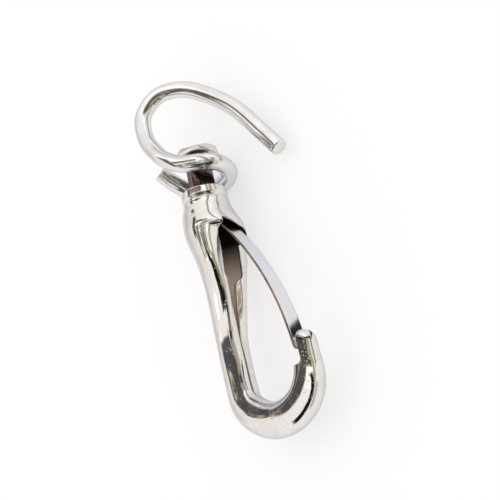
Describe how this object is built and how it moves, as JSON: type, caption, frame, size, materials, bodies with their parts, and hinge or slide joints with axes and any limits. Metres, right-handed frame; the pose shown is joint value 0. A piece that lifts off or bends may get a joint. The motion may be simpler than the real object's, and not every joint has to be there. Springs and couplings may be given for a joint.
{
  "type": "swivel snap hook",
  "caption": "Plated snap hook folded from sheet, with a flat sprung gate, a headed swivel stud and an open wire eye looped round the stud.",
  "frame": {"origin": "centre of the hook's bowl, on the hook's middle plane, where the held ring or bar sits", "axes": "+Y from the bowl along the neck to the swivel, +X from the closed back to the nose, +Z square to the flat of the hook; the hook lies on its side"},
  "size_m": [0.0328, 0.0851, 0.0162],
  "materials": {
    "hook_plating": "bright nickel plate, slightly wavy, with fine scratches and a few pits",
    "gate_plating": "bright plated spring strip, smooth, faint lines along the strip",
    "stud_plating": "bright nickel plate, a little uneven on the peened head",
    "wire_plating": "bright nickel plate on drawn wire, smooth and glossy"
  },
  "bodies": {
    "hook": {"hook_shell": "hook_plating"},
    "gate": {"gate_spring": "gate_plating"},
    "stud": {"swivel_stud": "stud_plating"},
    "eye": {"wire_eye": "wire_plating"}
  },
  "joints": [
    {"name": "gate_hinge", "type": "hinge", "parent": "hook", "child": "gate", "pos_m": [-0.0062, 0.0376, 0], "axis": [0, 0, -1], "range_deg": [0, 24], "stiffness_Nm_per_rad": 0.02, "springref_deg": -5.73},
    {"name": "stud_spin", "type": "hinge", "parent": "hook", "child": "stud", "pos_m": [-0.0096, 0.044, 0], "axis": [0, 1, 0], "continuous": true},
    {"name": "eye_swivel", "type": "hinge", "parent": "stud", "child": "eye", "pos_m": [-0.0096, 0.05, 0], "axis": [0, 1, 0], "continuous": true}
  ]
}
